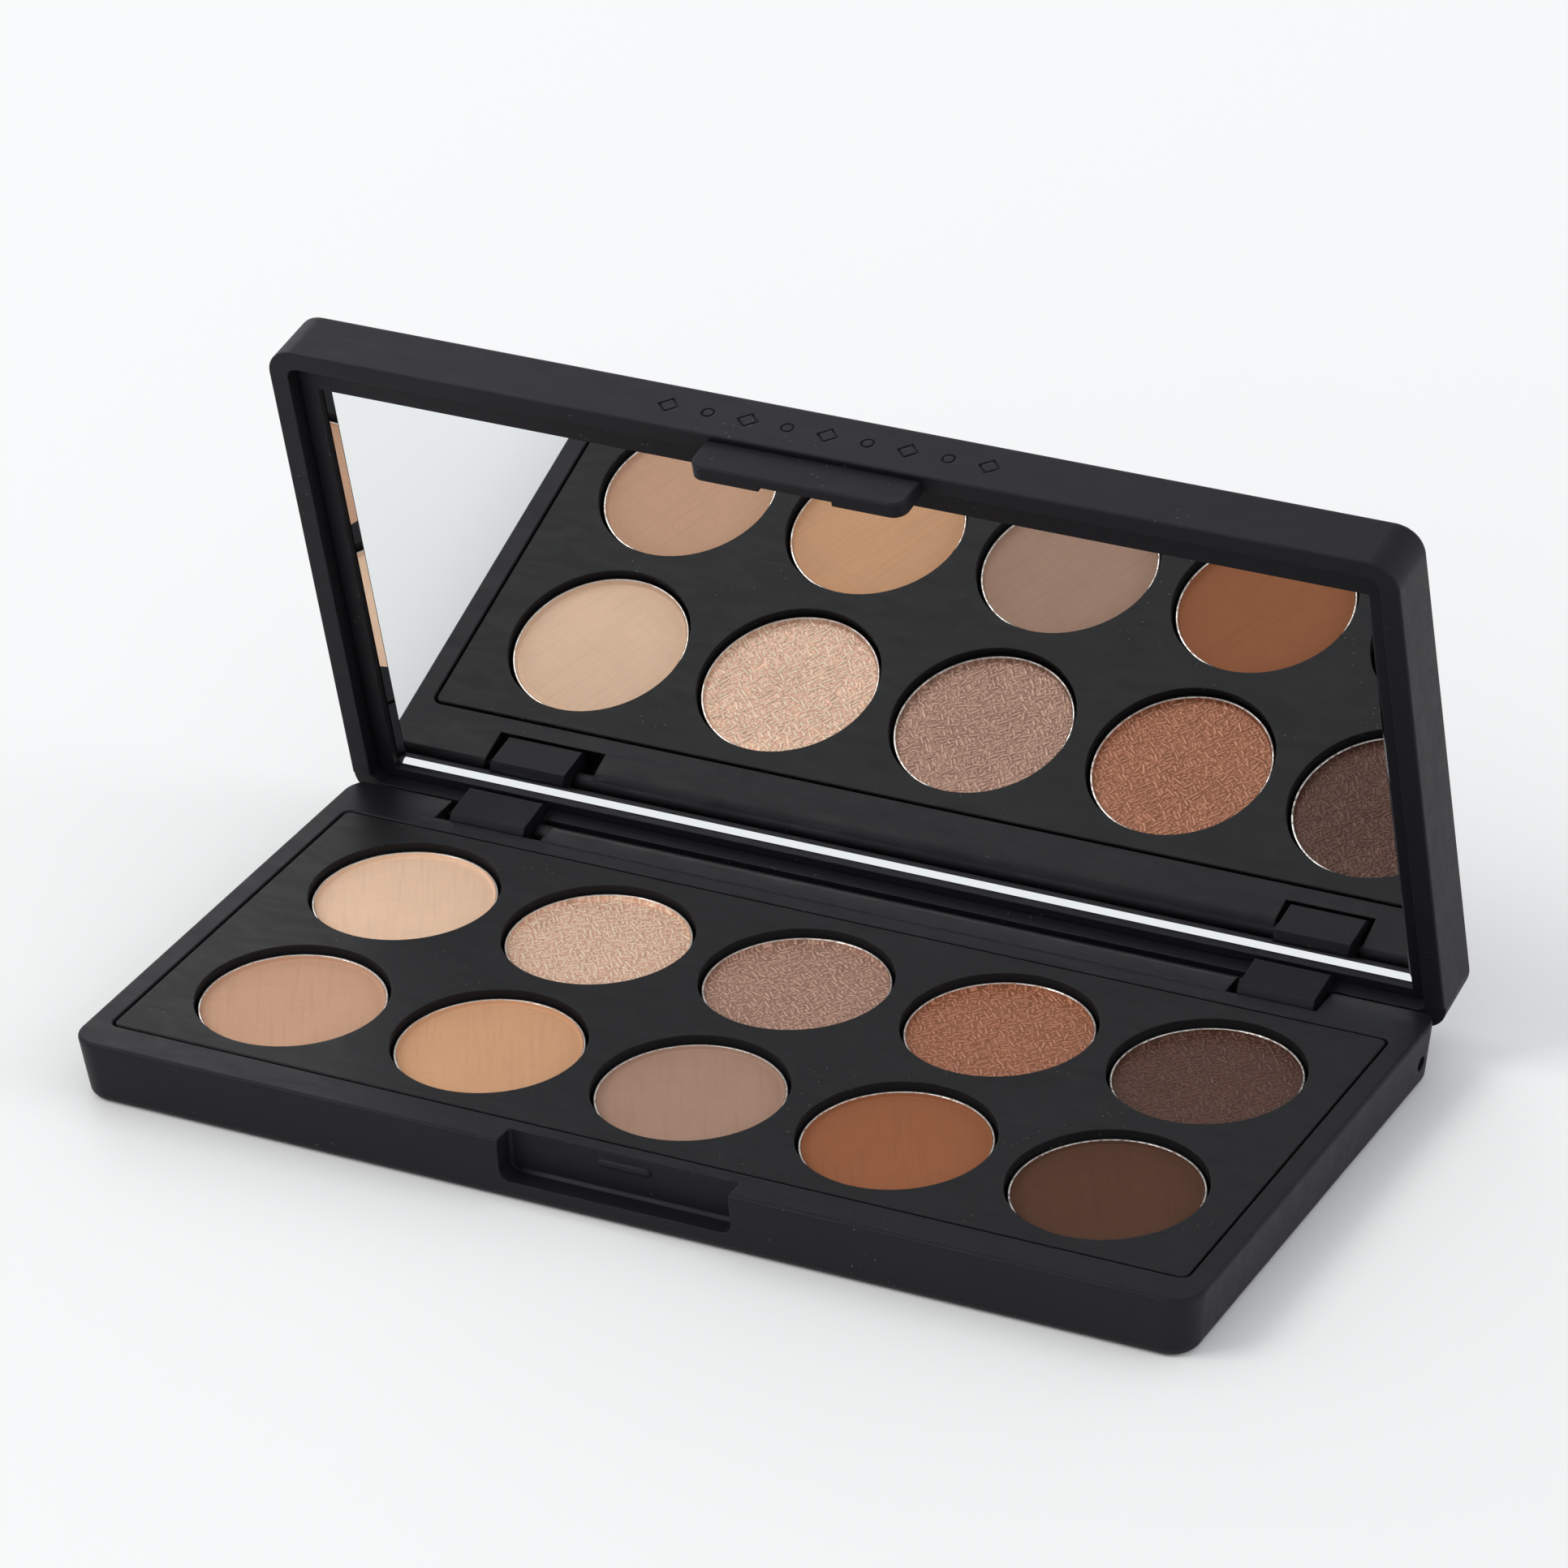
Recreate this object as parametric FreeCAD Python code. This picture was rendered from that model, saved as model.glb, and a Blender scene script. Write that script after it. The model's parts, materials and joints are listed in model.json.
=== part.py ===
# Ten-pan eyeshadow palette: a shallow moulded case whose mirrored lid turns on two steel pins.
# Frame: millimetres, origin at the centre of the case's underside, +X along the long side,
# -Y towards the latch, +Z up. The lid is drawn closed and then turned open to its rest angle.
import FreeCAD, Part
import os

V = FreeCAD.Vector

# Case outline, shared by base and lid
WIDTH = 168.0
DEPTH = 78.8
CORNER_R = 4.0

# Base
BASE_H = 9.2
BASE_DRAFT_X = 1.3         # end walls lean in by this much at the bottom
BASE_DRAFT_Y = 0.35        # long walls lean in by this much at the bottom
BASE_FLOOR = 1.6
BASE_BOTTOM_R = 1.4
BASE_TOP_R = 0.5

# Inset plate and its seat
PLATE_HALF_X = 80.2
PLATE_Y0 = -33.5
PLATE_Y1 = 29.85
PLATE_T = 1.5
PLATE_CORNER_R = 1.0
SEAM = 0.4                 # groove all round the plate
SEAM_CHAMFER = 0.15
SEAT_LEDGE = 1.6           # width of the ledge that the plate rests on

# Pans: two rows of five, 26 mm trade size
PAN_R = 13.0
PAN_H = 4.3
PAN_WALL = 0.35
PAN_FLOOR = 0.3
PAN_RIM_R = 0.14
PITCH_X = 30.7
PITCH_Y = 30.7
COLUMNS = 5
ROWS_Y = -2.0              # middle of the two rows
PAN_DROP = 1.15            # rim below the plate's top
WELL_R = 13.5
WELL_WALL = 0.7
WELL_FLOOR = 0.8
GLUE_R = 4.0
GLUE_T = 0.15
SHADE_DROP = 0.55          # cake below the pan's rim
SHADE_GAP = 0.04
SHADE_CHAMFER = 0.3
PAD_R = 6.0                # pads on the base's floor that carry the wells

# Hinge
AXIS_Y = 37.45
AXIS_Z = 7.35
REAR_R = DEPTH / 2 - AXIS_Y        # base's rear edge is round about the pin
KNUCKLE_R = 4.25
KNUCKLE_BACK = 3.1         # closed, a knuckle is cut flat this far behind the axis
KNUCKLE_FRONT = 3.25       # and this far in front of it
KNUCKLES = ((-65.6, -53.8), (56.4, 67.6))      # left and right, from end to end
RAIL_X0 = -50.7
RAIL_X1 = 55.0
RAIL_TOP = 9.3             # a hair above the case's top, so that a line shows in front of it
RAIL_R = 3.0               # its rounded rear edge
RAIL_LEAD_DROP = 0.2       # its hidden root ends this far below the case's top
NOTCH_X0 = -67.8
NOTCH_X1 = 68.4
NOTCH_Y = 32.95
NOTCH_FLOOR = 2.8
RAIL_BACK = 1.6                    # rail's back behind the axis
BOSS_R = 1.45                      # sleeve on each end of the rail that covers the pin
BOSS_GAP = 0.3                     # between a sleeve and its knuckle
PIN_R = 0.75
PIN_X0 = 45.5
PIN_X1 = 82.0
PIN_FIT = 0.05                     # running clearance in the knuckle
PRESS_FIT = 0.01                   # bore over pin in the base
REST_ANGLE = 79.5                  # lid's opening angle at rest

# Latch recess in the base, and the rib that the tab's notch passes over
RECESS_HALF_X = 17.3
RECESS_DEEP = 3.5
RECESS_FLOOR = 3.0
RECESS_LOW_R = 1.6
RECESS_BACK_R = 0.5
RECESS_WEDGE = 0.4         # legs of the slope between the recess's floor and its back
RIB_HALF_X = 3.4
RIB_R = 0.7
RIB_Z = 7.4

# Blind holes in the side walls near the rear corners
SIDE_HOLE_R = 1.1
SIDE_HOLE_DEEP = 2.0
SIDE_HOLE_Y = 33.8
SIDE_HOLE_Z = 4.0

# Lid
LID_GAP = 0.1
LID_OVER = 0.5             # lid stands out past the base at each end
LID_DRAFT = 0.15           # its walls lean in by this much at the top
LID_Z0 = BASE_H + LID_GAP
LID_H = 9.45
LID_ROOF = 1.6
LID_TOP_R = 0.8
LID_RIM_R = 0.25
LID_SIDE_WALL = 2.9
LID_FRONT_WALL = 2.65
LID_REAR_WALL = 2.8
LID_POCKET_R = 1.8
RELIEF_Y = 35.2            # behind this the lid's rim stands clear of the base's round rear edge
RELIEF_H = 0.35

# Insert that holds the mirror, and the mirror
SHELF_DEPTH = 2.45         # insert's face below the lid's rim
INSERT_GAP = 0.15
INSERT_TOP_GAP = 0.05
WINDOW_HALF_X = 78.8
WINDOW_Y0 = -32.0
WINDOW_Y1 = 35.0
INSERT_FLOOR = 0.9
MIRROR_DEPTH = 4.05        # mirror's face below the lid's rim
MIRROR_T = 2.0
MIRROR_GAP = 0.15
BEVEL_W = 1.7
BEVEL_H = 0.5

# Latch tab
TAB_HALF_X = 16.0
TAB_Y0 = -38.65
TAB_Y1 = -36.45
TAB_Z0 = 3.3
TAB_CORNER_R = 2.0
TAB_EDGE_R = 0.35
TAB_NOTCH_HALF_X = 5.5
TAB_NOTCH_DEEP = 0.7
TONGUE_HALF_X = 14.0
TONGUE_Y0 = -38.15
TONGUE_Y1 = -37.15
TONGUE_H = 2.2
TONGUE_SLACK = 0.05

# Ornament sunk in the lid's front wall: a plain row of rings and lozenges
ORNAMENT_COUNT = 9
ORNAMENT_PITCH = 6.0
LOZENGE_R = 1.7            # middle to corner
LOZENGE_LINE = 0.525       # from an outer corner in to the inner one
RING_R = 1.02
ORNAMENT_LINE = 0.35
ORNAMENT_DEEP = 0.25
ORNAMENT_Z = LID_Z0 + 4.6

BIG = 200.0                # reaches past everything, for cutting
ROOT = 0.5                 # how far fused pieces run into each other
SAME = 1e-6                # heights closer than this count as one


def rounded_rect(x0, x1, y0, y1, z, r):
    """Closed horizontal wire: a rectangle with corner arcs of radius r."""
    k = r * (1.0 - 0.5 ** 0.5)
    arcs = [
        (V(x1 - r, y0, z), V(x1 - k, y0 + k, z), V(x1, y0 + r, z)),
        (V(x1, y1 - r, z), V(x1 - k, y1 - k, z), V(x1 - r, y1, z)),
        (V(x0 + r, y1, z), V(x0 + k, y1 - k, z), V(x0, y1 - r, z)),
        (V(x0, y0 + r, z), V(x0 + k, y0 + k, z), V(x0 + r, y0, z)),
    ]
    edges = []
    last = V(x0 + r, y0, z)
    for start, middle, end in arcs:
        edges.append(Part.LineSegment(last, start).toShape())
        edges.append(Part.Arc(start, middle, end).toShape())
        last = end
    return Part.Wire(edges)


def rounded_box(x0, x1, y0, y1, z0, z1, r):
    face = Part.Face(rounded_rect(x0, x1, y0, y1, z0, r))
    return face.extrude(V(0, 0, z1 - z0))


def box(x0, x1, y0, y1, z0, z1):
    return Part.makeBox(x1 - x0, y1 - y0, z1 - z0, V(x0, y0, z0))


def rod_x(radius, x0, x1, y, z):
    return Part.makeCylinder(radius, x1 - x0, V(x0, y, z), V(1, 0, 0))


def disc(radius, x, y, z0, z1):
    return Part.makeCylinder(radius, z1 - z0, V(x, y, z0))


def fillet_level(solid, z, r):
    """Round the edges that lie wholly at height z."""
    edges = [e for e in solid.Edges if all(abs(v.Z - z) < SAME for v in e.Vertexes)]
    return solid.makeFillet(r, edges)


def case_block(half_x, z0, z1, inset0, inset1):
    """A case half from z0 to z1, drawn in by inset0 (x, y) at the bottom and inset1 at the top."""
    wires = []
    for z, (inset_x, inset_y) in ((z0, inset0), (z1, inset1)):
        hx = half_x - inset_x
        hy = DEPTH / 2 - inset_y
        wires.append(rounded_rect(-hx, hx, -hy, hy, z, CORNER_R))
    return Part.makeLoft(wires, True, True)


def pan_places():
    """Row name, column number from the left, x and y of each pan."""
    for row, side in (("front", -0.5), ("back", 0.5)):
        for column in range(COLUMNS):
            x = (column - (COLUMNS - 1) / 2) * PITCH_X
            yield row, column + 1, x, ROWS_Y + side * PITCH_Y


PLATE_TOP = BASE_H
PLATE_BOTTOM = PLATE_TOP - PLATE_T
PAN_TOP = PLATE_TOP - PAN_DROP
PAN_BOTTOM = PAN_TOP - PAN_H
WELL_TOP = PAN_BOTTOM - GLUE_T
WELL_BOTTOM = WELL_TOP - WELL_FLOOR


def latch_recess():
    """Space in the base's front wall: rounded below, rounded in plan at the back, open on top."""
    y_back = -DEPTH / 2 + RECESS_DEEP
    plan = rounded_box(-RECESS_HALF_X, RECESS_HALF_X, -BIG, y_back, 0, BIG, RECESS_BACK_R)
    front = rounded_box(-RECESS_HALF_X, RECESS_HALF_X, RECESS_FLOOR, BIG, 0, BIG, RECESS_LOW_R)
    front.rotate(V(0, 0, 0), V(1, 0, 0), 90)
    front.translate(V(0, BIG / 2, 0))
    return plan.common(front)


def catch_rib():
    y = -DEPTH / 2 + RECESS_DEEP
    rib = rod_x(RIB_R, -RIB_HALF_X, RIB_HALF_X, y, RIB_Z)
    for x in (-RIB_HALF_X, RIB_HALF_X):
        rib = rib.fuse(Part.makeSphere(RIB_R, V(x, y, RIB_Z)))
    return rib


def recess_wedge():
    """A slope along the inner corner of the recess."""
    half = RECESS_HALF_X - RECESS_LOW_R
    y = -DEPTH / 2 + RECESS_DEEP
    corners = [V(-half, y, RECESS_FLOOR), V(-half, y - RECESS_WEDGE, RECESS_FLOOR),
               V(-half, y, RECESS_FLOOR + RECESS_WEDGE), V(-half, y, RECESS_FLOOR)]
    return Part.Face(Part.makePolygon(corners)).extrude(V(2 * half, 0, 0))


def seat_chamfer():
    """The bevel round the top edge of the plate's seat."""
    wires = []
    for z, grow in ((BASE_H - SEAM_CHAMFER, SEAM), (BASE_H, SEAM + SEAM_CHAMFER)):
        wires.append(rounded_rect(-PLATE_HALF_X - grow, PLATE_HALF_X + grow, PLATE_Y0 - grow,
                                  PLATE_Y1 + grow, z, PLATE_CORNER_R + grow))
    return Part.makeLoft(wires, True, True)


def hinge_rail():
    """Solid bar between the knuckles with a rounded rear edge; it runs on into the case in front."""
    back = AXIS_Y + RAIL_BACK
    bar = box(RAIL_X0, RAIL_X1, NOTCH_Y - ROOT, back, NOTCH_FLOOR - ROOT, RAIL_TOP)
    lead = box(-BIG, BIG, -BIG, NOTCH_Y, BASE_H - RAIL_LEAD_DROP, BIG)
    corner = box(-BIG, BIG, back - RAIL_R, BIG, RAIL_TOP - RAIL_R, BIG)
    return bar.cut(lead).cut(corner.cut(rod_x(RAIL_R, -BIG, BIG, back - RAIL_R, RAIL_TOP - RAIL_R)))


def base_shell():
    shell = case_block(WIDTH / 2, 0, BASE_H, (BASE_DRAFT_X, BASE_DRAFT_Y), (0, 0))
    shell = fillet_level(shell, 0, BASE_BOTTOM_R)
    shell = fillet_level(shell, BASE_H, BASE_TOP_R)
    # rear edge, round about the pin so that the lid's rim can turn past it
    corner = box(-BIG, BIG, AXIS_Y, BIG, AXIS_Z, BIG)
    shell = shell.cut(corner.cut(rod_x(REAR_R, -BIG, BIG, AXIS_Y, AXIS_Z)))
    # seat for the plate, and the hollow under it
    seat = PLATE_HALF_X + SEAM
    shell = shell.cut(rounded_box(-seat, seat, PLATE_Y0 - SEAM, PLATE_Y1 + SEAM,
                                  PLATE_BOTTOM, BIG, PLATE_CORNER_R + SEAM))
    shell = shell.cut(seat_chamfer())
    hollow = PLATE_HALF_X - SEAT_LEDGE
    shell = shell.cut(rounded_box(-hollow, hollow, PLATE_Y0 + SEAT_LEDGE, PLATE_Y1 - SEAT_LEDGE,
                                  BASE_FLOOR, BIG, CORNER_R))
    pads = [disc(PAD_R, x, y, BASE_FLOOR - ROOT, WELL_BOTTOM) for _, _, x, y in pan_places()]
    shell = shell.fuse(pads)
    # latch recess with its rib
    shell = shell.cut(latch_recess())
    shell = shell.fuse([catch_rib(), recess_wedge()])
    # hinge: a long notch in the rear, with a rail that carries the inner ends of the pins
    shell = shell.cut(box(NOTCH_X0, NOTCH_X1, NOTCH_Y, BIG, NOTCH_FLOOR, BIG))
    left, right = KNUCKLES
    bosses = rod_x(BOSS_R, left[1] + BOSS_GAP, right[0] - BOSS_GAP, AXIS_Y, AXIS_Z)
    shell = shell.fuse([hinge_rail(), bosses])
    for side in (-1, 1):
        x0, x1 = sorted((side * PIN_X0, side * BIG))
        shell = shell.cut(rod_x(PIN_R + PRESS_FIT, x0, x1, AXIS_Y, AXIS_Z))
        x0, x1 = sorted((side * (WIDTH / 2 - SIDE_HOLE_DEEP), side * BIG))
        shell = shell.cut(rod_x(SIDE_HOLE_R, x0, x1, SIDE_HOLE_Y, SIDE_HOLE_Z))
    return shell.removeSplitter()


def tray_plate():
    plate = rounded_box(-PLATE_HALF_X, PLATE_HALF_X, PLATE_Y0, PLATE_Y1,
                        PLATE_BOTTOM, PLATE_TOP, PLATE_CORNER_R)
    rim = [e for e in plate.Edges if all(abs(v.Z - PLATE_TOP) < SAME for v in e.Vertexes)]
    plate = plate.makeChamfer(SEAM_CHAMFER, rim)
    cups = [disc(WELL_R + WELL_WALL, x, y, WELL_BOTTOM, PLATE_BOTTOM + ROOT) for _, _, x, y in pan_places()]
    plate = plate.fuse(cups)
    wells = [disc(WELL_R, x, y, WELL_TOP, BIG) for _, _, x, y in pan_places()]
    return plate.cut(wells).removeSplitter()


def pan(x, y):
    """A pressed tinplate cup with a softened rim."""
    cup = disc(PAN_R, x, y, PAN_BOTTOM, PAN_TOP)
    cup = cup.cut(disc(PAN_R - PAN_WALL, x, y, PAN_BOTTOM + PAN_FLOOR, BIG))
    cup = fillet_level(cup, PAN_TOP, PAN_RIM_R)
    return fillet_level(cup, PAN_BOTTOM, PAN_WALL)


def shade(x, y):
    """The pressed powder cake in one pan."""
    radius = PAN_R - PAN_WALL - SHADE_GAP
    cake = disc(radius, x, y, PAN_BOTTOM + PAN_FLOOR, PAN_TOP - SHADE_DROP)
    top = [e for e in cake.Edges if all(abs(v.Z - (PAN_TOP - SHADE_DROP)) < SAME for v in e.Vertexes)]
    return cake.makeChamfer(SHADE_CHAMFER, top)


def pan_glue():
    return Part.makeCompound([disc(GLUE_R, x, y, WELL_TOP, PAN_BOTTOM) for _, _, x, y in pan_places()])


def hinge_pin(side):
    x0, x1 = sorted((side * PIN_X0, side * PIN_X1))
    return rod_x(PIN_R, x0, x1, AXIS_Y, AXIS_Z)


def ornament():
    """Rings and lozenges in turn, as thin outlines to be cut into the lid's front wall."""
    marks = []
    y_out = -DEPTH / 2 - ROOT
    # the wall leans back, so the cut is measured from where the wall stands at the row's height
    lean = LID_DRAFT * (ORNAMENT_Z - LID_Z0) / LID_H
    length = ROOT + lean + ORNAMENT_DEEP
    for i in range(ORNAMENT_COUNT):
        x = (i - (ORNAMENT_COUNT - 1) / 2) * ORNAMENT_PITCH
        if i % 2:
            outer = Part.makeCylinder(RING_R, length, V(x, y_out, ORNAMENT_Z), V(0, 1, 0))
            inner = Part.makeCylinder(RING_R - ORNAMENT_LINE, length, V(x, y_out, ORNAMENT_Z), V(0, 1, 0))
        else:
            outer = lozenge(x, LOZENGE_R, y_out, length)
            inner = lozenge(x, LOZENGE_R - LOZENGE_LINE, y_out, length)
        marks.append(outer.cut(inner))
    return marks


def lozenge(x, r, y, length):
    corners = [V(x - r, y, ORNAMENT_Z), V(x, y, ORNAMENT_Z - r), V(x + r, y, ORNAMENT_Z),
               V(x, y, ORNAMENT_Z + r), V(x - r, y, ORNAMENT_Z)]
    return Part.Face(Part.makePolygon(corners)).extrude(V(0, length, 0))


def lid_shell():
    top = LID_Z0 + LID_H
    half_x = WIDTH / 2 + LID_OVER
    shell = case_block(half_x, LID_Z0, top, (0, 0), (LID_DRAFT, LID_DRAFT))
    shell = fillet_level(shell, top, LID_TOP_R)
    shell = fillet_level(shell, LID_Z0, LID_RIM_R)
    half = half_x - LID_SIDE_WALL
    shell = shell.cut(rounded_box(-half, half, -DEPTH / 2 + LID_FRONT_WALL, DEPTH / 2 - LID_REAR_WALL,
                                  0, top - LID_ROOF, LID_POCKET_R))
    shell = shell.cut(box(-BIG, BIG, RELIEF_Y, BIG, 0, LID_Z0 + RELIEF_H))
    slab = box(-BIG, BIG, AXIS_Y - KNUCKLE_FRONT, AXIS_Y + KNUCKLE_BACK, -BIG, BIG)
    shell = shell.fuse([rod_x(KNUCKLE_R, x0, x1, AXIS_Y, AXIS_Z).common(slab) for x0, x1 in KNUCKLES])
    shell = shell.cut(rod_x(PIN_R + PIN_FIT, -BIG, BIG, AXIS_Y, AXIS_Z))
    slot_x = TONGUE_HALF_X + TONGUE_SLACK
    shell = shell.cut(box(-slot_x, slot_x, TONGUE_Y0 - TONGUE_SLACK, TONGUE_Y1 + TONGUE_SLACK,
                          0, LID_Z0 + TONGUE_H + TONGUE_SLACK))
    shell = shell.cut(ornament())
    return shell.removeSplitter()


def latch_tab():
    """Pull tab below the lid's front edge, with a tongue that plugs into the wall above it."""
    tab = rounded_box(-TAB_HALF_X, TAB_HALF_X, TAB_Z0, LID_Z0 + TAB_CORNER_R * 2, 0, 1, TAB_CORNER_R)
    tab.rotate(V(0, 0, 0), V(1, 0, 0), 90)
    tab = tab.common(box(-BIG, BIG, -BIG, BIG, -BIG, LID_Z0))
    face = max(tab.Faces, key=lambda f: f.CenterOfMass.y)
    tab = face.extrude(V(0, TAB_Y1 - TAB_Y0, 0))
    tab.translate(V(0, TAB_Y0 - face.CenterOfMass.y, 0))
    front = [e for e in tab.Edges if all(abs(v.Y - TAB_Y0) < SAME for v in e.Vertexes)]
    tab = tab.makeFillet(TAB_EDGE_R, front)
    tab = tab.cut(box(-TAB_NOTCH_HALF_X, TAB_NOTCH_HALF_X, TAB_Y1 - TAB_NOTCH_DEEP, BIG,
                      0, LID_Z0 - TAB_NOTCH_DEEP))
    tongue = box(-TONGUE_HALF_X, TONGUE_HALF_X, TONGUE_Y0, TONGUE_Y1, LID_Z0 - ROOT, LID_Z0 + TONGUE_H)
    return tab.fuse(tongue).removeSplitter()


def mirror_insert():
    """Tray glued in the lid: a flat frame with a window, and a floor behind the mirror."""
    z0 = LID_Z0 + SHELF_DEPTH
    z1 = LID_Z0 + LID_H - LID_ROOF - INSERT_TOP_GAP
    half = WIDTH / 2 + LID_OVER - LID_SIDE_WALL - INSERT_GAP
    y0 = -DEPTH / 2 + LID_FRONT_WALL + INSERT_GAP
    y1 = DEPTH / 2 - LID_REAR_WALL - INSERT_GAP
    tray = rounded_box(-half, half, y0, y1, z0, z1, LID_POCKET_R - INSERT_GAP)
    window = box(-WINDOW_HALF_X, WINDOW_HALF_X, WINDOW_Y0, WINDOW_Y1, 0, z1 - INSERT_FLOOR)
    return tray.cut(window)


def mirror_outline(inset, z):
    x = WINDOW_HALF_X - MIRROR_GAP - inset
    y0 = WINDOW_Y0 + MIRROR_GAP + inset
    y1 = WINDOW_Y1 - MIRROR_GAP - inset
    return Part.makePolygon([V(-x, y0, z), V(x, y0, z), V(x, y1, z), V(-x, y1, z), V(-x, y0, z)])


def mirror():
    """Plate glass with a bevel all round its face."""
    face_z = LID_Z0 + MIRROR_DEPTH
    edge_z = face_z + BEVEL_H
    body = Part.Face(mirror_outline(0, edge_z)).extrude(V(0, 0, MIRROR_T - BEVEL_H))
    bevel = Part.makeLoft([mirror_outline(BEVEL_W, face_z), mirror_outline(0, edge_z)], True, True)
    return body.fuse(bevel).removeSplitter()


def mirror_tape():
    """Double-sided sheet between the mirror's back and the insert's floor."""
    z0 = LID_Z0 + MIRROR_DEPTH + MIRROR_T
    z1 = LID_Z0 + LID_H - LID_ROOF - INSERT_TOP_GAP - INSERT_FLOOR
    margin = BEVEL_W
    x = WINDOW_HALF_X - margin
    return box(-x, x, WINDOW_Y0 + margin, WINDOW_Y1 - margin, z0, z1)


def opened(shape):
    """Turn a lid part from closed to the rest angle."""
    shape.rotate(V(0, AXIS_Y, AXIS_Z), V(-1, 0, 0), REST_ANGLE)
    return shape


def main():
    parts = {
        "base_shell": base_shell(),
        "tray_plate": tray_plate(),
        "pan_glue_dots": pan_glue(),
        "hinge_pin_left": hinge_pin(-1),
        "hinge_pin_right": hinge_pin(1),
        "lid_shell": opened(lid_shell()),
        "latch_tab": opened(latch_tab()),
        "mirror_insert": opened(mirror_insert()),
        "mirror_glass": opened(mirror()),
        "mirror_tape": opened(mirror_tape()),
    }
    for row, column, x, y in pan_places():
        parts[f"pan_{row}_{column}"] = pan(x, y)
        parts[f"shade_{row}_{column}"] = shade(x, y)
    os.makedirs("parts", exist_ok=True)
    for name, shape in parts.items():
        shape.exportStep(f"parts/{name}.step")
        b = shape.BoundBox
        print(f"{name:18s} valid {shape.isValid()} solids {len(shape.Solids)} volume {shape.Volume:9.1f}"
              f"  x {b.XMin:.2f} {b.XMax:.2f}  y {b.YMin:.2f} {b.YMax:.2f}  z {b.ZMin:.2f} {b.ZMax:.2f}")


main()
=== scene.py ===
"""Open eyeshadow palette: materials, powder surfaces, mirror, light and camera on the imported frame."""
import json
import math

import bmesh
import bpy
import numpy as np
from mathutils import Matrix, Vector


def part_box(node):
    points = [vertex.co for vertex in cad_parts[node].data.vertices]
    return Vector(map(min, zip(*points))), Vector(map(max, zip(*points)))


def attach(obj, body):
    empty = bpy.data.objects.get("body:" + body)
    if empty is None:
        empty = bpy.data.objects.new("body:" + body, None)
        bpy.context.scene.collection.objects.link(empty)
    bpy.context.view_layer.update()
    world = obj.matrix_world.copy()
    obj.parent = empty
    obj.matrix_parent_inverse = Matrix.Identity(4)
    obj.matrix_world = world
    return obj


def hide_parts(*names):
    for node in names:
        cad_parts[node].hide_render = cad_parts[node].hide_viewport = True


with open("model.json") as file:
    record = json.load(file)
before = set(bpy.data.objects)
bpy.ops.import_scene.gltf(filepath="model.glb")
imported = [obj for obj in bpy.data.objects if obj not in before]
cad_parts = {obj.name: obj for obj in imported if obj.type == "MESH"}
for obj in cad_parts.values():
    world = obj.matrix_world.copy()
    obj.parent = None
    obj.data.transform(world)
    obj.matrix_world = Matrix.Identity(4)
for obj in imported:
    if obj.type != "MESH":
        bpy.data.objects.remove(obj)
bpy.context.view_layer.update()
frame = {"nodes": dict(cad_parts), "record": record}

NODES = frame["nodes"]
RECORD = frame["record"]
MM = 0.001

# ---------------------------------------------------------------- camera
CAM_AZIMUTH = math.radians(29.03)
CAM_ELEVATION = math.radians(29.20)
CAM_ROLL = math.radians(-3.12)
CAM_DISTANCE = 1.11631
CAM_RIGHT = 0.00534                 # the aim lies this far off the middle of the view
CAM_UP = 0.03410
CAM_AIM = Vector((0.0, -0.0020, 0.00835))
CAM_LENS = 190.74
CAM_SENSOR = 36.0
CAM_CLIP = (0.05, 50.0)


def add_camera():
    """Camera at the viewing angle: back, right and over are its own axes."""
    ca, sa = math.cos(CAM_AZIMUTH), math.sin(CAM_AZIMUTH)
    ce, se = math.cos(CAM_ELEVATION), math.sin(CAM_ELEVATION)
    back = Vector((sa * ce, -ca * ce, se))
    side = Vector((0, 0, 1)).cross(back).normalized()
    up = back.cross(side)
    cr, sr = math.cos(CAM_ROLL), math.sin(CAM_ROLL)
    right = cr * side + sr * up
    over = -sr * side + cr * up
    place = CAM_AIM + right * CAM_RIGHT + over * CAM_UP + back * CAM_DISTANCE
    data = bpy.data.cameras.new("camera")
    data.lens = CAM_LENS
    data.sensor_width = CAM_SENSOR
    data.clip_start, data.clip_end = CAM_CLIP
    cam = bpy.data.objects.new("camera", data)
    bpy.context.scene.collection.objects.link(cam)
    turn = Matrix((right, over, back)).transposed()
    cam.matrix_world = Matrix.Translation(place) @ turn.to_4x4()
    bpy.context.scene.camera = cam


# ---------------------------------------------------------------- light and floor
WALL_COLOUR = (0.97, 0.985, 1.0)
WALL_FADE = {"From Min": 0.05, "From Max": 0.75, "To Min": 0.97, "To Max": 0.68}
FLOOR_HALF = 4.0
FLOOR_WHITE = 0.93
# name, place, what it is aimed at, side length, watts, colour
LAMPS = [
    ("key_front_left", (-1.9, -1.5, 2.6), (0, 0, 0), 1.5, 37.0, (1.0, 0.985, 0.97)),
    ("rim_back_left", (-1.4, 1.5, 0.95), (-0.05, 0, 0), 0.8, 5.0, (0.98, 0.99, 1.0)),
    ("fill_right", (1.9, 0.2, 1.0), (0, 0, 0), 1.0, 6.0, (0.98, 0.99, 1.0)),
]


def add_lamp(name, place, aim, side, watts, colour):
    """Square soft light."""
    data = bpy.data.lights.new(name, "AREA")
    data.shape = "RECTANGLE"
    data.size = data.size_y = side
    data.energy = watts
    data.color = colour
    lamp = bpy.data.objects.new(name, data)
    bpy.context.scene.collection.objects.link(lamp)
    place = Vector(place)
    turn = (place - Vector(aim)).to_track_quat("Z", "Y").to_matrix().to_4x4()
    lamp.matrix_world = Matrix.Translation(place) @ turn


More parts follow.
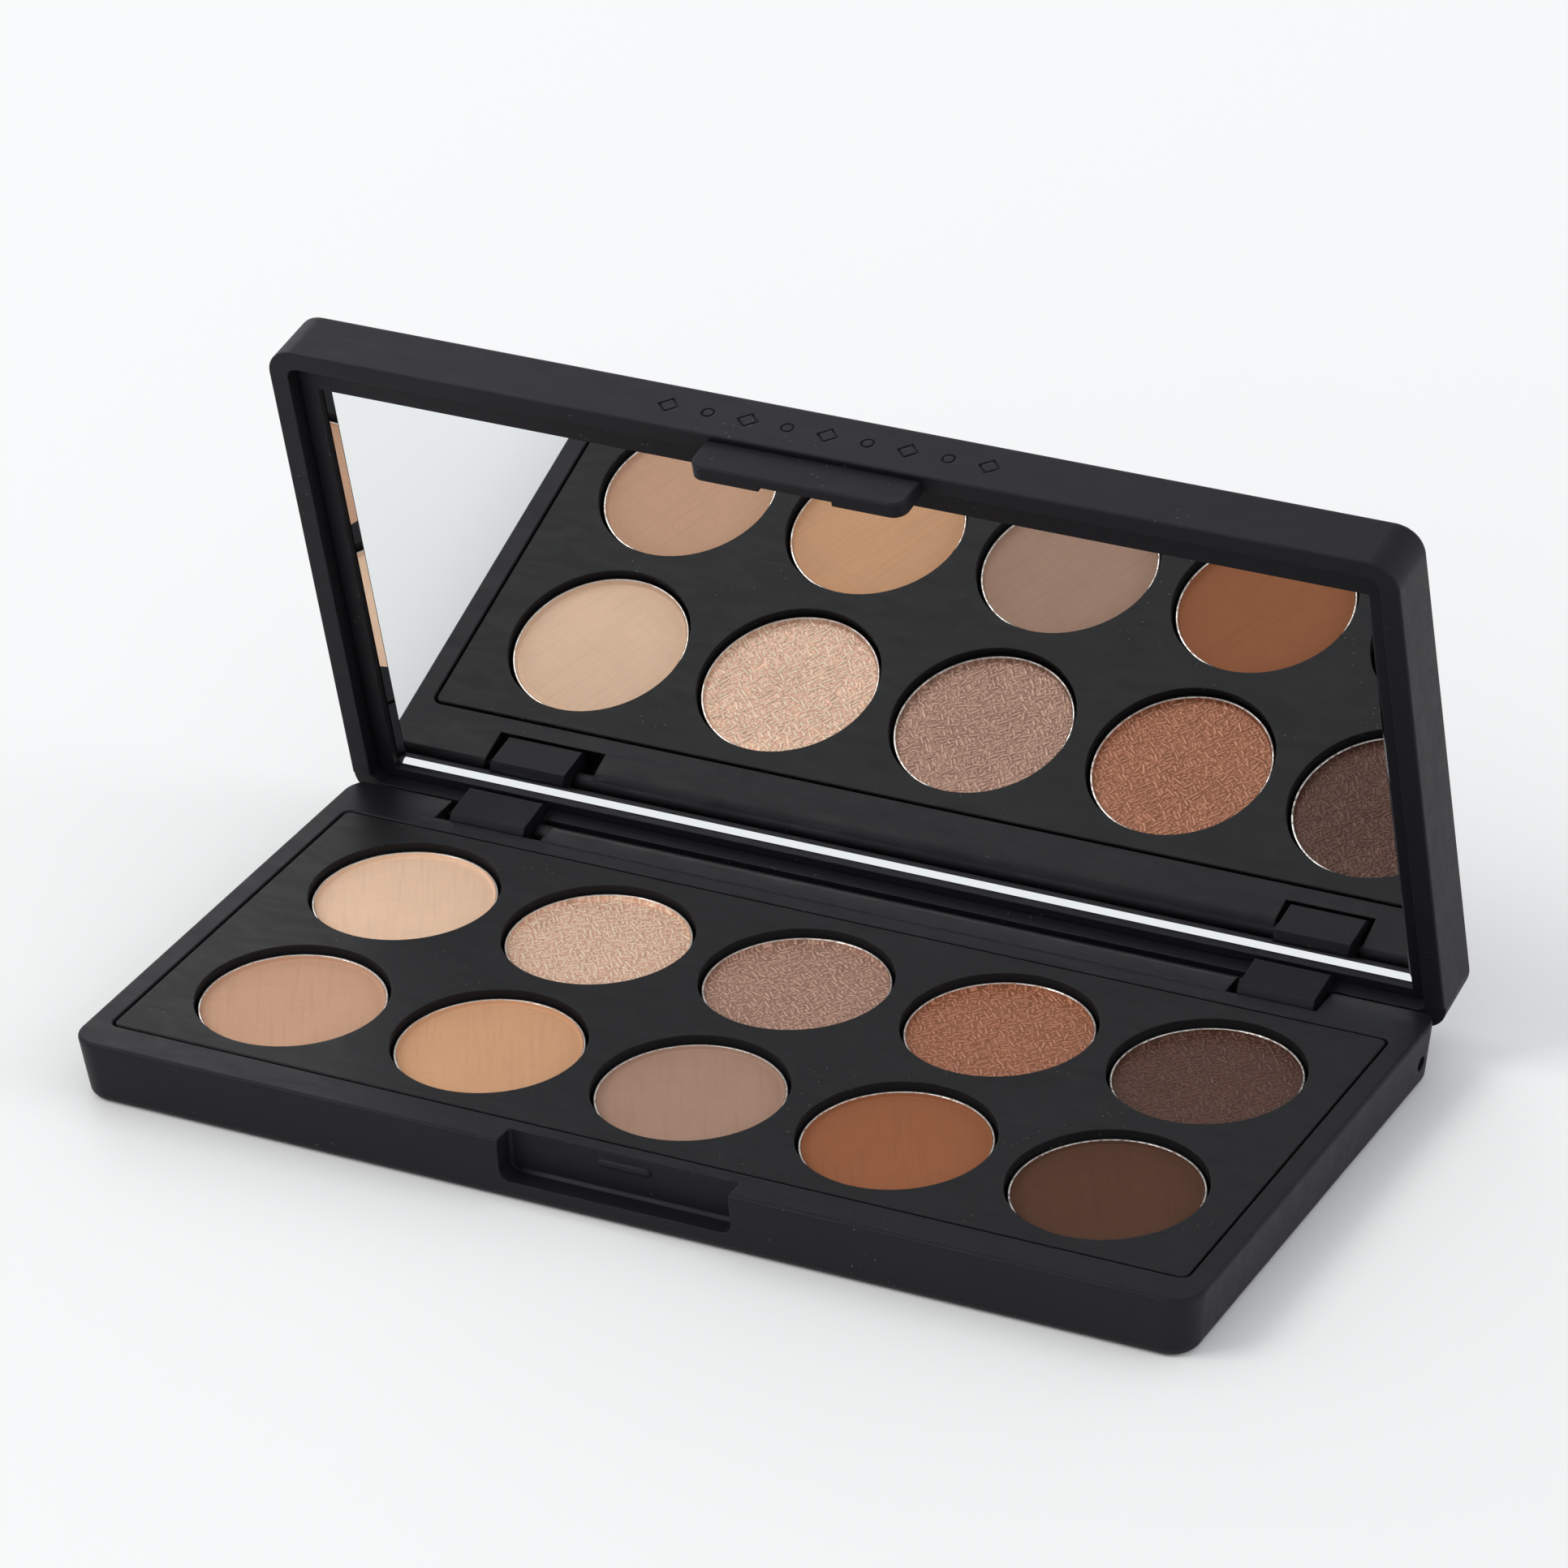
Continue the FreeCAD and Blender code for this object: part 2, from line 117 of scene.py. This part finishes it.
def add_walls():
    """White surroundings that darken towards the ceiling."""
    world = bpy.data.worlds.new("studio")
    bpy.context.scene.world = world
    world.use_nodes = True
    nodes, links = world.node_tree.nodes, world.node_tree.links
    walls = nodes["Background"]
    walls.inputs["Color"].default_value = (*WALL_COLOUR, 1)
    where = nodes.new("ShaderNodeTexCoord")
    parts = nodes.new("ShaderNodeSeparateXYZ")
    fade = nodes.new("ShaderNodeMapRange")
    for socket, value in WALL_FADE.items():
        fade.inputs[socket].default_value = value
    links.new(where.outputs["Generated"], parts.inputs["Vector"])
    links.new(parts.outputs["Z"], fade.inputs["Value"])
    links.new(fade.outputs["Result"], walls.inputs["Strength"])


def add_floor():
    h = FLOOR_HALF
    mesh = bpy.data.meshes.new("floor")
    mesh.from_pydata([(-h, -h, 0), (h, -h, 0), (h, h, 0), (-h, h, 0)], [], [(0, 1, 2, 3)])
    floor = bpy.data.objects.new("floor", mesh)
    bpy.context.scene.collection.objects.link(floor)
    mesh.materials.append(floor_paper())


def add_studio():
    bpy.context.scene.view_settings.view_transform = "Standard"
    add_walls()
    for lamp in LAMPS:
        add_lamp(*lamp)
    add_floor()


# ---------------------------------------------------------------- materials
class Look:
    """A node material on the Principled shader, with textures in the object's own metres.

    Texture scales are in features per metre.
    """

    def __init__(self, name, colour, rough, metallic=0.0):
        self.material = bpy.data.materials.new(name)
        self.material.use_nodes = True
        self.tree = self.material.node_tree
        self.shader = self.tree.nodes["Principled BSDF"]
        self.coord = self.tree.nodes.new("ShaderNodeTexCoord").outputs["Object"]
        self.normal = None
        self.set("Base Color", (*colour, 1))
        self.set("Roughness", rough)
        self.set("Metallic", metallic)
        self.material.diffuse_color = (*colour, 1)

    def set(self, socket, value):
        self.shader.inputs[socket].default_value = value

    def link(self, a, b):
        self.tree.links.new(a, b)

    def mapped(self, socket, value, coord=None):
        m = self.tree.nodes.new("ShaderNodeMapping")
        m.inputs[socket].default_value = value
        self.link(coord or self.coord, m.inputs["Vector"])
        return m.outputs["Vector"]

    def stretched(self, scale, coord=None):
        """Coordinates scaled along each axis: a small factor draws the texture out."""
        return self.mapped("Scale", scale, coord)

    def turned(self, angle):
        """Coordinates turned about the vertical."""
        return self.mapped("Rotation", (0, 0, angle))

    def noise(self, scale, detail=2.0, roughness=0.5, coord=None, distortion=0.0):
        n = self.tree.nodes.new("ShaderNodeTexNoise")
        n.inputs["Scale"].default_value = scale
        n.inputs["Detail"].default_value = detail
        n.inputs["Roughness"].default_value = roughness
        n.inputs["Distortion"].default_value = distortion
        self.link(coord or self.coord, n.inputs["Vector"])
        return n.outputs["Fac"]

    def cells(self, scale, output="Distance"):
        n = self.tree.nodes.new("ShaderNodeTexVoronoi")
        n.inputs["Scale"].default_value = scale
        self.link(self.coord, n.inputs["Vector"])
        return n.outputs[output]

    def split(self, colour):
        """Red, green and blue of a colour socket."""
        n = self.tree.nodes.new("ShaderNodeSeparateColor")
        self.link(colour, n.inputs["Color"])
        return [n.outputs[channel] for channel in ("Red", "Green", "Blue")]

    def remap(self, value, a, b, c=0.0, d=1.0):
        """value from a to b becomes c to d, held at the ends."""
        n = self.tree.nodes.new("ShaderNodeMapRange")
        for name, v in (("From Min", a), ("From Max", b), ("To Min", c), ("To Max", d)):
            n.inputs[name].default_value = v
        self.link(value, n.inputs["Value"])
        return n.outputs["Result"]

    def math(self, op, a, b):
        n = self.tree.nodes.new("ShaderNodeMath")
        n.operation = op
        for socket, v in zip(n.inputs, (a, b)):
            if isinstance(v, (int, float)):
                socket.default_value = v
            else:
                self.link(v, socket)
        return n.outputs["Value"]

    def tint(self, factor, colour):
        """Mix colour over what the base colour is so far, by factor."""
        n = self.tree.nodes.new("ShaderNodeMix")
        n.data_type = "RGBA"
        below, above = n.inputs[6], n.inputs[7]
        base = self.shader.inputs["Base Color"]
        if base.is_linked:
            self.link(base.links[0].from_socket, below)
        else:
            below.default_value = base.default_value
        above.default_value = (*colour, 1)
        self.link(factor, n.inputs[0])
        self.link(n.outputs[2], base)

    def lay(self, colour, strength, value, start, full):
        """Tint with colour: not at all where value is start, by strength where it is full."""
        self.tint(self.remap(value, start, full, 0.0, strength), colour)

    def rough_from(self, value, low, high, a=0.3, b=0.7):
        self.link(self.remap(value, a, b, low, high), self.shader.inputs["Roughness"])

    def bump(self, height, strength, distance):
        n = self.tree.nodes.new("ShaderNodeBump")
        n.inputs["Strength"].default_value = strength
        n.inputs["Distance"].default_value = distance
        self.link(height, n.inputs["Height"])
        if self.normal is not None:
            self.link(self.normal, n.inputs["Normal"])
        self.normal = n.outputs["Normal"]
        self.link(self.normal, self.shader.inputs["Normal"])

    def soft_edges(self, radius):
        """Start the normal from edges rounded by radius; gives 1 on edges and 0 on flats."""
        n = self.tree.nodes.new("ShaderNodeBevel")
        n.samples = 4
        n.inputs["Radius"].default_value = radius
        self.normal = n.outputs["Normal"]
        self.link(self.normal, self.shader.inputs["Normal"])
        # on an edge the rounded normal leaves the true one
        true = self.tree.nodes.new("ShaderNodeNewGeometry").outputs["Normal"]
        dot = self.tree.nodes.new("ShaderNodeVectorMath")
        dot.operation = "DOT_PRODUCT"
        self.link(self.normal, dot.inputs[0])
        self.link(true, dot.inputs[1])
        return self.remap(self.math("SUBTRACT", 1.0, dot.outputs["Value"]), 0.0, 0.25)


def tones(colour, k):
    return tuple(min(1.0, c * k) for c in colour)


def from_srgb(r, g, b):
    """Linear colour of 8-bit screen values."""
    return tuple(((v / 255 + 0.055) / 1.055) ** 2.4 for v in (r, g, b))


def floor_paper():
    m = Look("floor_paper", (FLOOR_WHITE,) * 3, 0.8)
    m.set("Specular IOR Level", 0.2)
    grain = m.noise(900, 3)
    m.rough_from(grain, 0.72, 0.86)
    m.bump(grain, 0.05, 0.05 * MM)
    return m.material


def black_plastic(name, colour, rough):
    """Soft-feel black moulding: fine grain, faint smears, a little dust, and a painted highlight along
    the edges.
    """
    m = Look(name, colour, rough)
    m.set("Specular IOR Level", 0.185)
    edge = m.soft_edges(0.25 * MM)
    clouds = m.noise(35, 4, 0.6)
    m.lay(tones(colour, 1.35), 0.4, clouds, 0.35, 0.7)
    grain = m.noise(5200, 2, 0.6)
    m.lay(tones(colour, 2.2), 0.35, grain, 0.62, 0.8)
    smear = m.noise(120, 3, 0.6, coord=m.stretched((1.0, 3.0, 2.0)), distortion=1.2)
    m.rough_from(smear, rough - 0.04, rough + 0.04)
    # painted highlight: the edges are lightened seven-fold, broken into patches by noise
    edge_highlight_patches = m.remap(m.noise(420, 3), 0.38, 0.66, 0.15, 0.8)
    m.tint(m.math("MULTIPLY", edge, edge_highlight_patches), tones(colour, 7.0))
    specks = m.remap(m.cells(760), 0.10, 0.05)
    patches = m.remap(m.noise(60, 2), 0.56, 0.62)
    dust = m.math("MULTIPLY", specks, patches)
    m.tint(m.math("MULTIPLY", dust, 0.5), (0.25, 0.23, 0.22))
    m.bump(m.noise(420, 2), 0.12, 0.05 * MM)
    m.bump(grain, 0.22, 0.02 * MM)
    return m.material


def tinplate(name, powder):
    """Pressed tinplate with drawn marks, dusted with its own powder."""
    m = Look(name, (0.80, 0.76, 0.72), 0.3, 1.0)
    drawn = m.noise(700, 4, 0.7, coord=m.stretched((1.0, 1.0, 9.0)))
    m.rough_from(drawn, 0.26, 0.46)
    dust = m.remap(m.noise(1300, 4, 0.65), 0.45, 0.62, 0.0, 0.8)
    m.tint(dust, tones(powder, 0.9))
    m.link(m.math("SUBTRACT", 1.0, m.math("MULTIPLY", dust, 0.8)), m.shader.inputs["Metallic"])
    m.bump(drawn, 0.2, 0.02 * MM)
    m.bump(dust, 0.3, 0.03 * MM)
    return m.material


def pin_steel():
    m = Look("pin_steel", (0.10, 0.10, 0.105), 0.35, 1.0)
    lines = m.noise(600, 3, 0.6, coord=m.stretched((0.05, 1.0, 1.0)))
    m.rough_from(lines, 0.22, 0.4)
    m.bump(lines, 0.15, 0.02 * MM)
    return m.material


def glue():
    m = Look("glue", (0.72, 0.66, 0.5), 0.3)
    m.lay((0.8, 0.76, 0.66), 0.6, m.noise(500, 3), 0.4, 0.7)
    m.rough_from(m.noise(300, 2), 0.22, 0.45)
    m.bump(m.noise(250, 2), 0.4, 0.05 * MM)
    return m.material


def tape():
    m = Look("foam_tape", (0.8, 0.8, 0.79), 0.85)
    foam = m.cells(2200)
    m.lay((0.62, 0.62, 0.6), 0.5, foam, 0.2, 0.7)
    m.rough_from(foam, 0.75, 0.95)
    m.bump(foam, 0.4, 0.04 * MM)
    return m.material


CLOTH_TURN = math.radians(-29)      # how the pressing cloth lay on the matt cakes
THREAD_DRAWN = 0.05                 # a thread's width over its length


def matte_powder(name, colour):
    """Pressed matt powder: fine grain, faint mottling, a trace of the pressing cloth."""
    m = Look(name, colour, 0.95)
    m.set("Specular IOR Level", 0.06)
    m.lay(tones(colour, 0.84), 0.3, m.noise(170, 4, 0.6), 0.35, 0.7)
    m.lay(tones(colour, 1.16), 0.4, m.noise(2600, 3, 0.7), 0.5, 0.75)
    m.lay(tones(colour, 0.7), 0.35, m.cells(1500), 0.12, 0.05)
    askew = m.turned(CLOTH_TURN)
    warp = m.noise(1500, 2, 0.6, coord=m.stretched((1.0, THREAD_DRAWN, 1.0), askew))
    weft = m.noise(1500, 2, 0.6, coord=m.stretched((THREAD_DRAWN, 1.0, 1.0), askew))
    cloth = m.math("MAXIMUM", warp, m.math("MULTIPLY", weft, 0.9))
    m.lay(tones(colour, 0.86), 0.5, cloth, 0.5, 0.7)
    m.rough_from(m.noise(800, 2), 0.88, 1.0)
    m.bump(cloth, 0.25, 0.04 * MM)
    m.bump(m.noise(6500, 3, 0.7), 0.4, 0.03 * MM)
    return m.material


RELIEF_LAYER = "relief"             # vertex colours: 0 in a groove, 1 on a ridge
GLINT_WARMTH = (1.15, 0.95, 0.8)


def pearl_powder(name, colour):
    """Pearly powder: the relief is in the mesh; the flakes, the painted glint on the ridges and the
    painted shade in the grooves are here.
    """
    m = Look(name, tones(colour, 1.05), 0.42, 0.3)
    m.set("Specular IOR Level", 0.3)
    pale = min(0.16, 0.8 * sum(colour) / 3)
    glint = tuple(min(0.92, 1.4 * c + pale * k) for c, k in zip(colour, GLINT_WARMTH))
    m.lay(tones(colour, 0.8), 0.35, m.noise(220, 3), 0.35, 0.7)
    relief = m.tree.nodes.new("ShaderNodeVertexColor")
    relief.layer_name = RELIEF_LAYER
    height = m.split(relief.outputs["Color"])[0]
    # painted highlight on the ridges and painted shade in the grooves, following the relief heights
    m.lay(glint, 0.85, height, 0.5, 0.8)
    m.lay(tones(colour, 0.62), 0.85, height, 0.45, 0.2)
    bright, dark, dull = m.split(m.cells(6500, "Color"))
    # painted glint on scattered flakes; other flakes are darker at random
    m.lay(glint, 0.7, bright, 0.84, 0.98)
    m.lay(tones(colour, 0.5), 0.5, dark, 0.88, 1.0)
    m.rough_from(dull, 0.3, 0.6, 0.0, 1.0)
    m.bump(bright, 0.3, 0.025 * MM)
    return m.material


def silver():
    """Silvered face, a touch hazy in places."""
    m = Look("mirror_silver", (0.875, 0.895, 0.895), 0.0, 1.0)
    m.link(m.remap(m.noise(40, 3), 0.6, 0.85, 0.0, 0.02), m.shader.inputs["Roughness"])
    return m.material


def glass_edge():
    """Ground edge of the plate, slightly green."""
    m = Look("mirror_edge", (0.32, 0.38, 0.36), 0.35)
    ground = m.noise(2500, 3)
    m.rough_from(ground, 0.3, 0.5)
    m.bump(ground, 0.3, 0.02 * MM)
    return m.material


def paint(node, material):
    mesh = NODES[node].data
    mesh.materials.clear()
    mesh.materials.append(material)


# ---------------------------------------------------------------- powder cakes
# Colours of the cakes as 8-bit screen values, left to right
SHADES = {
    "front": [(203, 160, 133), (211, 162, 125), (170, 137, 119), (152, 97, 68), (89, 62, 50)],
    "back": [(240, 203, 174), (231, 183, 158), (164, 126, 108), (157, 98, 69), (83, 52, 41)],
}
EDGE_SEED = 100
RELIEF_SEED = 500

# Embossed grain of the pearly cakes: a square map of short strokes, in millimetres
MAP_SIZE = 512
MAP_MARGIN = 1.3            # map beyond the cake, all round
STROKES = 2600
STROKE_WIDTH = 0.195
STROKE_HALF = (0.35, 0.9)   # half length
STROKE_CLEARS = 1.7         # a stroke wipes out what is under it, this many widths out
STROKE_FORCE = (0.5, 1.0)
STROKE_WAVER = 0.22         # radians
MAP_SLANT = (0.6, 0.95)     # radians, the range for a whole cake
STROKE_REACH = 28           # map cells, past the end of the longest stroke
RELIEF_HEIGHT = 0.10 * MM

# Cake mesh: level inside, then a narrow collar that climbs the pan's wall
PEARL_GRID = (118, 600)     # rings and segments
MATTE_GRID = (44, 224)
COLLAR_WIDTH = 0.14 * MM
COLLAR_STEPS = np.array([0.25, 0.5, 0.72, 0.88, 1.0])
COLLAR_CURVE = 1.3
SINK = 0.05 * MM            # of the level below its CAD height, and of the collar below the rim
FOOT_GAP = 0.02 * MM
RAGGED_WAVES = (3, 5, 9, 14, 23, 41, 67)
PEARL_RAGGED = 0.035 * MM
MATTE_RAGGED = 0.012 * MM
CAKE_TILT = 0.0012


def stroke_map(seed, span):
    """Height map, -1 to 1, of a square of span mm: each stroke cuts off those it crosses."""
    rng = np.random.default_rng(seed)
    step = span / MAP_SIZE
    field = np.zeros((MAP_SIZE, MAP_SIZE))
    slant = rng.uniform(*MAP_SLANT)
    window = 2 * STROKE_REACH
    for _ in range(STROKES):
        cx, cy = rng.uniform(STROKE_REACH, MAP_SIZE - STROKE_REACH, 2)
        quarter = rng.integers(0, 2) * math.pi / 2
        angle = slant + quarter + rng.normal(0, STROKE_WAVER)
        half = rng.uniform(*STROKE_HALF)
        x0, y0 = int(cx) - STROKE_REACH, int(cy) - STROKE_REACH
        xs = (np.arange(x0, x0 + window) - cx) * step
        ys = (np.arange(y0, y0 + window) - cy)[:, None] * step
        along = xs * math.cos(angle) + ys * math.sin(angle)
        across = -xs * math.sin(angle) + ys * math.cos(angle)
        beyond = np.maximum(np.abs(along) - half, 0)
        away = np.hypot(beyond, across) / STROKE_WIDTH
        cover = np.exp(-(away / STROKE_CLEARS) ** 4)
        ridge = 2 * np.exp(-away ** 2) - 1
        patch = field[y0:y0 + window, x0:x0 + window]
        patch += cover * (ridge * rng.uniform(*STROKE_FORCE) - patch)
    return field


def read_map(field, x, y, span):
    """Heights of the map at places in metres from its middle, blended between its cells."""
    u = (x / span + 0.5) * (MAP_SIZE - 1)
    v = (y / span + 0.5) * (MAP_SIZE - 1)
    iu = np.clip(u.astype(int), 0, MAP_SIZE - 2)
    iv = np.clip(v.astype(int), 0, MAP_SIZE - 2)
    fu, fv = u - iu, v - iv
    near = field[iv, iu] * (1 - fu) + field[iv, iu + 1] * fu
    far = field[iv + 1, iu] * (1 - fu) + field[iv + 1, iu + 1] * fu
    return near * (1 - fv) + far * fv


def ring_faces(rings, segments):
    """A fan about vertex 0, bands between rings of vertices, and a lid on the last ring."""
    faces = [(0, 1 + j, 1 + (j + 1) % segments) for j in range(segments)]
    for i in range(rings - 1):
        a = 1 + i * segments
        b = a + segments
        for j in range(segments):
            k = (j + 1) % segments
            faces.append((a + j, b + j, b + k, a + k))
    last = 1 + (rings - 1) * segments
    faces.append(tuple(last + j for j in reversed(range(segments))))
    return faces


def cake_mesh(name, index, pan_node, shade_node, pearl):
    """Surface of one cake: level middle, ragged edge up the pan's wall, embossed grain if pearly."""
    rng = np.random.default_rng(EDGE_SEED + index)
    pan_low, pan_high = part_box(pan_node)
    low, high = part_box(shade_node)
    cx, cy = (pan_low.x + pan_high.x) / 2, (pan_low.y + pan_high.y) / 2
    radius = (high.x - low.x) / 2
    level = high.z - SINK
    climb_height = pan_high.z - SINK - level
    rings, segments = PEARL_GRID if pearl else MATTE_GRID
    span = 2 * (radius + MAP_MARGIN * MM)
    relief = stroke_map(RELIEF_SEED + index, span / MM) if pearl else None
    inner = radius - COLLAR_WIDTH
    radii = np.concatenate([np.linspace(0, 1, rings)[1:] * inner, inner + COLLAR_WIDTH * COLLAR_STEPS])
    angles = np.linspace(0, 2 * math.pi, segments, endpoint=False)
    ragged = sum(rng.normal() * np.cos(k * angles + rng.uniform(0, 2 * math.pi)) / k ** 0.5
                 for k in RAGGED_WAVES)
    ragged *= PEARL_RAGGED if pearl else MATTE_RAGGED
    tilt_x, tilt_y = rng.normal(0, CAKE_TILT, 2)
    verts = [(cx, cy, level)]
    heights = [0.0]
    for r in radii:
        t = max(0.0, (r - inner) / COLLAR_WIDTH)
        x, y = r * np.cos(angles), r * np.sin(angles)
        z = level + climb_height * t ** COLLAR_CURVE + ragged * t ** 2 + tilt_x * x + tilt_y * y
        if pearl:
            h = read_map(relief, x, y, span)
            z = z + h * RELIEF_HEIGHT * (1 - 0.5 * t)
            heights.extend(h)
        verts.extend(zip(cx + x, cy + y, z))
    foot = np.full(segments, low.z + FOOT_GAP)
    verts.extend(zip(cx + radius * np.cos(angles), cy + radius * np.sin(angles), foot))
    faces = ring_faces(len(radii) + 1, segments)
    mesh = bpy.data.meshes.new(name)
    mesh.from_pydata([tuple(map(float, v)) for v in verts], [], faces)
    mesh.polygons.foreach_set("use_smooth", [True] * (len(faces) - 1) + [False])
    mesh.update()
    if pearl:
        heights.extend([0.0] * segments)
        grey = 0.5 + 0.5 * np.array(heights)
        layer = mesh.color_attributes.new(RELIEF_LAYER, "FLOAT_COLOR", "POINT")
        layer.data.foreach_set("color", np.column_stack([grey, grey, grey, np.ones_like(grey)]).ravel())
    return mesh


def add_cake(index, row, number, screen_colour):
    """A pressed cake in place of its plain CAD disc, and the tin round it dusted to match."""
    pan_node, shade_node = f"pan_{row}_{number}", f"shade_{row}_{number}"
    pearl = row == "back" and number > 1
    colour = from_srgb(*screen_colour)
    name = f"powder_{shade_node}"
    mesh = cake_mesh(name, index, pan_node, shade_node, pearl)
    powder = pearl_powder if pearl else matte_powder
    mesh.materials.append(powder(f"{shade_node}_powder", colour))
    paint(pan_node, tinplate(f"{pan_node}_tin", colour))
    obj = bpy.data.objects.new(name, mesh)
    bpy.context.scene.collection.objects.link(obj)
    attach(obj, "base")
    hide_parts(shade_node)


def add_powders():
    index = 0
    for row, colours in SHADES.items():
        for number, colour in enumerate(colours, 1):
            index += 1
            add_cake(index, row, number, colour)


# ---------------------------------------------------------------- mirror
FACET_WIDTH = 0.9 * MM
FACET_RISE = 0.5 * MM


def add_mirror():
    """Silvered plate whose bright bevel leans inwards, as the eye sees it through the glass.

    The plate is drawn with the lid closed, where it lies level, and turned open with the lid.
    """
    joint = RECORD["behaviour"]["joints"][0]
    pivot = Vector(joint["pos_m"])
    turn = Matrix.Rotation(math.radians(-min(joint["range_deg"])), 3, Vector(joint["axis"]))
    closed = [turn.inverted() @ (v.co - pivot) + pivot for v in NODES["mirror_glass"].data.vertices]
    x0, x1 = min(v.x for v in closed), max(v.x for v in closed)
    y0, y1 = min(v.y for v in closed), max(v.y for v in closed)
    face, back = min(v.z for v in closed), max(v.z for v in closed)
    verts = []
    for inset, z in ((0, back), (0, face - FACET_RISE), (FACET_WIDTH, face)):
        verts += [(x0 + inset, y0 + inset, z), (x1 - inset, y0 + inset, z),
                  (x1 - inset, y1 - inset, z), (x0 + inset, y1 - inset, z)]
    # the back, four ground edges, four facets and the face
    faces = [(3, 2, 1, 0)]
    for low in (0, 4):
        for j in range(4):
            k = (j + 1) % 4
            faces.append((low + j, low + k, low + 4 + k, low + 4 + j))
    faces.append((8, 9, 10, 11))
    ground = range(1, 5)
    mesh = bpy.data.meshes.new("mirror_plate")
    mesh.from_pydata([tuple(turn @ (Vector(v) - pivot) + pivot) for v in verts], [], faces)
    work = bmesh.new()
    work.from_mesh(mesh)
    bmesh.ops.recalc_face_normals(work, faces=work.faces)
    work.to_mesh(mesh)
    work.free()
    mesh.materials.append(silver())
    mesh.materials.append(glass_edge())
    for p in mesh.polygons:
        p.material_index = 1 if p.index in ground else 0
    obj = bpy.data.objects.new("mirror_plate", mesh)
    bpy.context.scene.collection.objects.link(obj)
    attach(obj, "lid")
    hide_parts("mirror_glass")


# ---------------------------------------------------------------- the CAD nodes that stay
CASE_BLACK = (0.0070, 0.0068, 0.0090)
PLATE_BLACK = (0.0072, 0.0071, 0.0084)


def paint_case():
    case = black_plastic("case_plastic", CASE_BLACK, 0.5)
    steel = pin_steel()
    for node in ("base_shell", "lid_shell", "latch_tab", "mirror_insert"):
        paint(node, case)
    for node in ("hinge_pin_left", "hinge_pin_right"):
        paint(node, steel)
    paint("tray_plate", black_plastic("plate_plastic", PLATE_BLACK, 0.52))
    paint("pan_glue_dots", glue())
    paint("mirror_tape", tape())


add_camera()
add_studio()
paint_case()
add_powders()
add_mirror()
